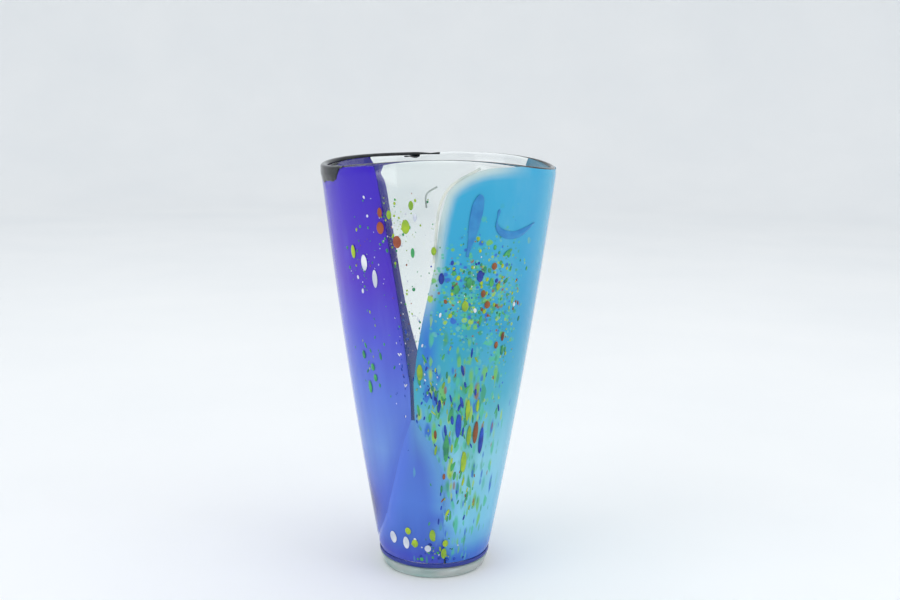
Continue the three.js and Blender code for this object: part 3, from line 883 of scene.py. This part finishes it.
def lift_at(angle, z):
    """Height above the vessel on which a speck lies at a place: on a sheet, or on the bare wall."""
    for at, low, high in OUTLINES.values():
        for a in (angle, angle - 360):
            if at[0] < a < at[-1]:
                if np.interp(a, at, low) - NEAR_SHEET < z < np.interp(a, at, high) + NEAR_SHEET:
                    return GAP + SHEET + SPECK_LIFT
    return SPECK_LIFT


def specks(colour, spots):
    """One piece of many small melted drops of one colour: (angle, height, width, length) each."""
    around = SPECK_SIDES
    verts, faces = [], []
    for angle, z, width, length in spots:
        tilt = random.normal(0, SPECK_TILT)
        above = lift_at(angle, z)
        thick = min(SPECK_THICK, SPECK_FLATNESS * width)
        first = len(verts)
        for share, up in SPECK_RINGS:
            for k in range(around):
                turn = 2 * math.pi * k / around
                u = share * width / 2 * math.cos(turn)
                v = share * length / 2 * math.sin(turn)
                u, v = u * math.cos(tilt) - v * math.sin(tilt), u * math.sin(tilt) + v * math.cos(tilt)
                h = z + v
                a = angle + math.degrees(u / float(wall(h)))
                verts.append(on_wall(np.array(a), np.array(h), above + thick * up).tolist())
        verts.append(on_wall(np.array(angle), np.array(z), above + thick).tolist())
        top = len(verts) - 1
        for r in range(len(SPECK_RINGS) - 1):
            for k in range(around):
                j = (k + 1) % around
                base = first + r * around
                faces.append((base + k, base + j, base + around + j, base + around + k))
        base = first + (len(SPECK_RINGS) - 1) * around
        faces += [(base + k, base + (k + 1) % around, top) for k in range(around)]
        faces.append(tuple(first + k for k in reversed(range(around))))
    piece = new_object("specks_" + colour, verts, faces, CHIPS[colour])
    return piece_of(facing_out(piece), colour + "_chip_glass")


# middle and spread of angle and height, number, widths in mm, how drawn out, colours with their shares
SPECK_BANDS = [
    (-110, 15, 0.300, 0.020, 90, (0.6, 2.2), 1.3, {"white": 3, "lime": 5, "green": 3, "orange": 1}),
    (-130, 10, 0.270, 0.020, 45, (0.6, 2.6), 1.5, {"green": 5, "lime": 2, "white": 2, "brown": 1}),
    (-105, 10, 0.235, 0.040, 60, (0.5, 1.6), 1.5, {"white": 4, "green": 3, "brown": 1, "lime": 1}),
    (-110, 5, 0.190, 0.050, 40, (0.5, 1.2), 2.6, {"white": 2, "blue": 5}),
    (-70, 20, 0.250, 0.030, 150, (0.8, 3.4), 1.3, {"green": 8, "lime": 3, "brown": 1, "blue": 1, "white": 1}),
    (-45, 5, 0.220, 0.040, 26, (0.8, 2.8), 1.8, {"lime": 3, "green": 4, "brown": 2}),
    (-130, 10, 0.195, 0.030, 22, (0.8, 2.6), 2.2, {"green": 5, "lime": 2}),
    (-95, 10, 0.180, 0.040, 45, (0.7, 2.4), 2.4, {"white": 2, "lime": 2, "green": 3, "blue": 4}),
    (-75, 20, 0.140, 0.045, 80, (1.0, 2.8), 4.0, {"green": 6, "lime": 3, "blue": 3, "brown": 1}),
    (-70, 20, 0.075, 0.030, 36, (1.0, 2.8), 3.4, {"lime": 2, "green": 4, "blue": 3, "brown": 1}),
    (-90, 25, 0.025, 0.010, 40, (1.0, 3.6), 1.2, {"white": 2, "lime": 4, "green": 4, "blue": 3}),
]

drops = {}
for a0, da, z0, dz, count, widths, drawn, colours in SPECK_BANDS:
    names = [c for c, share in colours.items() for _ in range(share)]
    for _ in range(count):
        angle = a0 + da * random.normal() * SPECK_SPREAD
        z = float(np.clip(z0 + dz * random.normal() * SPECK_SPREAD, *SPECK_HEIGHTS))
        width = widths[0] + (widths[1] - widths[0]) * random.random() ** MOSTLY_SMALL
        length = width * (1 + (drawn - 1) * random.uniform(0.5, 1.4))
        colour = names[random.integers(len(names))]
        drops.setdefault(colour, []).append((angle, z, width * MM, length * MM))
for colour in sorted(drops):
    specks(colour, drops[colour])


# ---------------------------------------------------------------- floor, light and camera

def floor():
    """A pale floor that curves up into a pale wall all round."""
    t = Tree("pale_floor")
    grain = t.body_noise(3, 3, 3)
    colour = t.ramp(grain, [(0.3, (0.84, 0.855, 0.87)), (0.7, (0.87, 0.88, 0.89))])
    material = t.finish(colour, 0.7, specular=0.1)
    profile = np.vstack([
        [[0, 0], [1.0, 0], [STAGE_RADIUS, 0]],
        arc(STAGE_RADIUS, STAGE_COVE, STAGE_COVE, -84, 0, 14),
        [[STAGE_RADIUS + STAGE_COVE, STAGE_WALL]],
    ])
    around = 96
    turn = np.radians(np.linspace(0, 360, around, endpoint=False))
    rings = profile[1:]
    verts = [(0, 0, 0)] + [(r * math.cos(a), r * math.sin(a), z) for a in turn for r, z in rings]
    count = len(rings)
    faces = []
    for i in range(around):
        here, after = 1 + i * count, 1 + (i + 1) % around * count
        faces.append((0, here, after))
        faces += [(here + k, here + k + 1, after + k + 1, after + k) for k in range(count - 1)]
    new_object("floor", verts, faces, material)


def soft_light(name, place, target, size, power):
    data = bpy.data.lights.new(name, "AREA")
    data.shape = "RECTANGLE"
    data.size, data.size_y = size
    data.energy = power
    lamp = bpy.data.objects.new(name, data)
    bpy.context.scene.collection.objects.link(lamp)
    lamp.location = place
    lamp.rotation_euler = (Vector(target) - Vector(place)).to_track_quat("-Z", "Y").to_euler()


def world():
    world = bpy.data.worlds.new("pale_room")
    bpy.context.scene.world = world
    world.use_nodes = True
    background = world.node_tree.nodes["Background"]
    background.inputs[0].default_value = (0.86, 0.885, 0.90, 1)
    background.inputs[1].default_value = 1.08


def camera():
    data = bpy.data.cameras.new("camera")
    data.sensor_width = 36
    data.lens = CAMERA_LENS
    data.clip_start = 0.01
    data.clip_end = 50
    made = bpy.data.objects.new("camera", data)
    bpy.context.scene.collection.objects.link(made)
    made.location = CAMERA_PLACE
    made.rotation_euler = (math.radians(90 - CAMERA_DOWN), math.radians(CAMERA_ROLL), 0)
    bpy.context.scene.camera = made


floor()
world()
soft_light("left_panel", (-1.6, -1.0, 1.3), (0, 0, 0.2), (1.4, 1.8), 9)
soft_light("right_panel", (1.7, -0.8, 1.2), (0, 0, 0.2), (1.2, 1.6), 7)
soft_light("top_panel", (0, 0.4, 2.4), (0, 0, 0.1), (2.2, 2.2), 9)
camera()
bpy.context.scene.view_settings.view_transform = "Standard"
